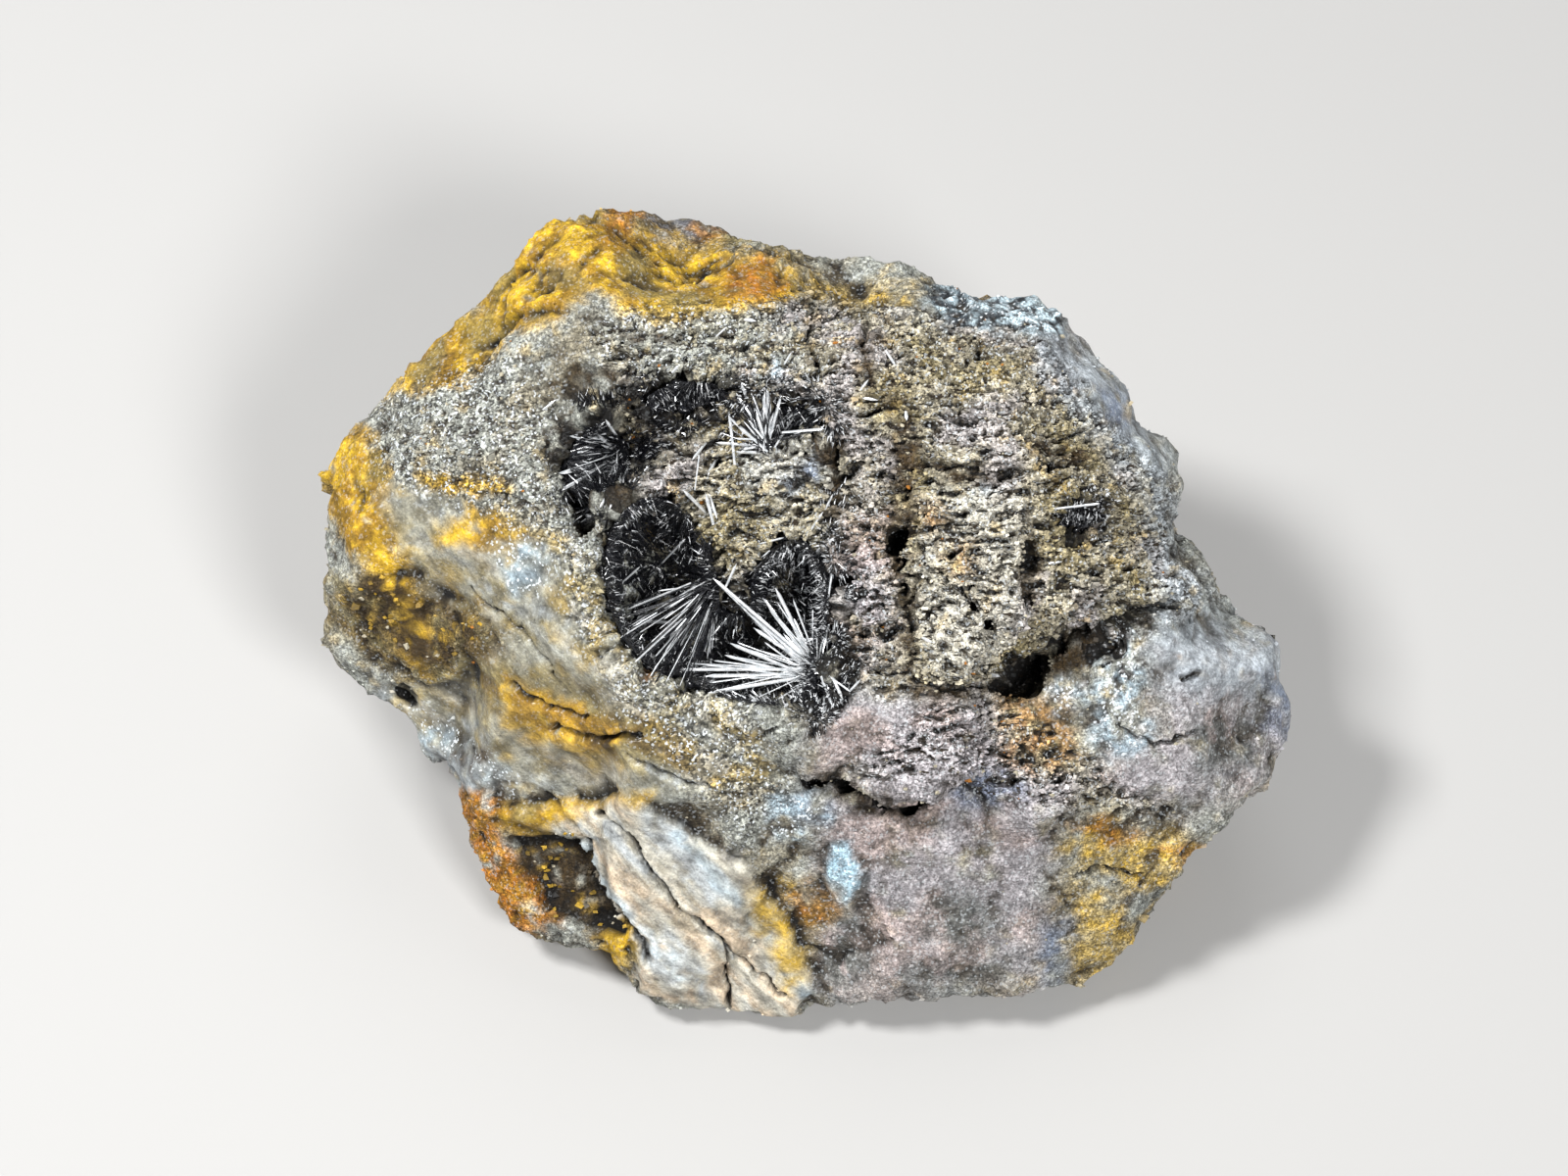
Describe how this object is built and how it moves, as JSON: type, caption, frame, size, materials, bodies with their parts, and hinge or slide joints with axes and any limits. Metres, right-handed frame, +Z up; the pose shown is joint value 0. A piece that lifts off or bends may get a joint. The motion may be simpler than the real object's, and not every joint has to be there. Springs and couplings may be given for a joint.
{
  "type": "pyrolusite specimen",
  "caption": "Hand-sized broken block of brown, grey and ochre ore whose leaning face holds a vug with a spray of long dark needle crystals and small crystal pockets.",
  "frame": {"origin": "middle of the stone's outline on the surface it rests on", "axes": "+X to the right of the display face along the stone's length, +Y to its back, +Z up"},
  "size_m": [0.0897, 0.068, 0.047],
  "materials": {
    "ore_stone": "matte",
    "needle_crystals": "gloss"
  },
  "bodies": {
    "root": {"stone": "ore_stone", "vug_crystals": "needle_crystals", "left_pocket_crystals": "needle_crystals", "upper_pocket_crystals": "needle_crystals", "shelf_pocket_crystals": "needle_crystals", "right_pocket_crystals": "needle_crystals"}
  },
  "joints": []
}
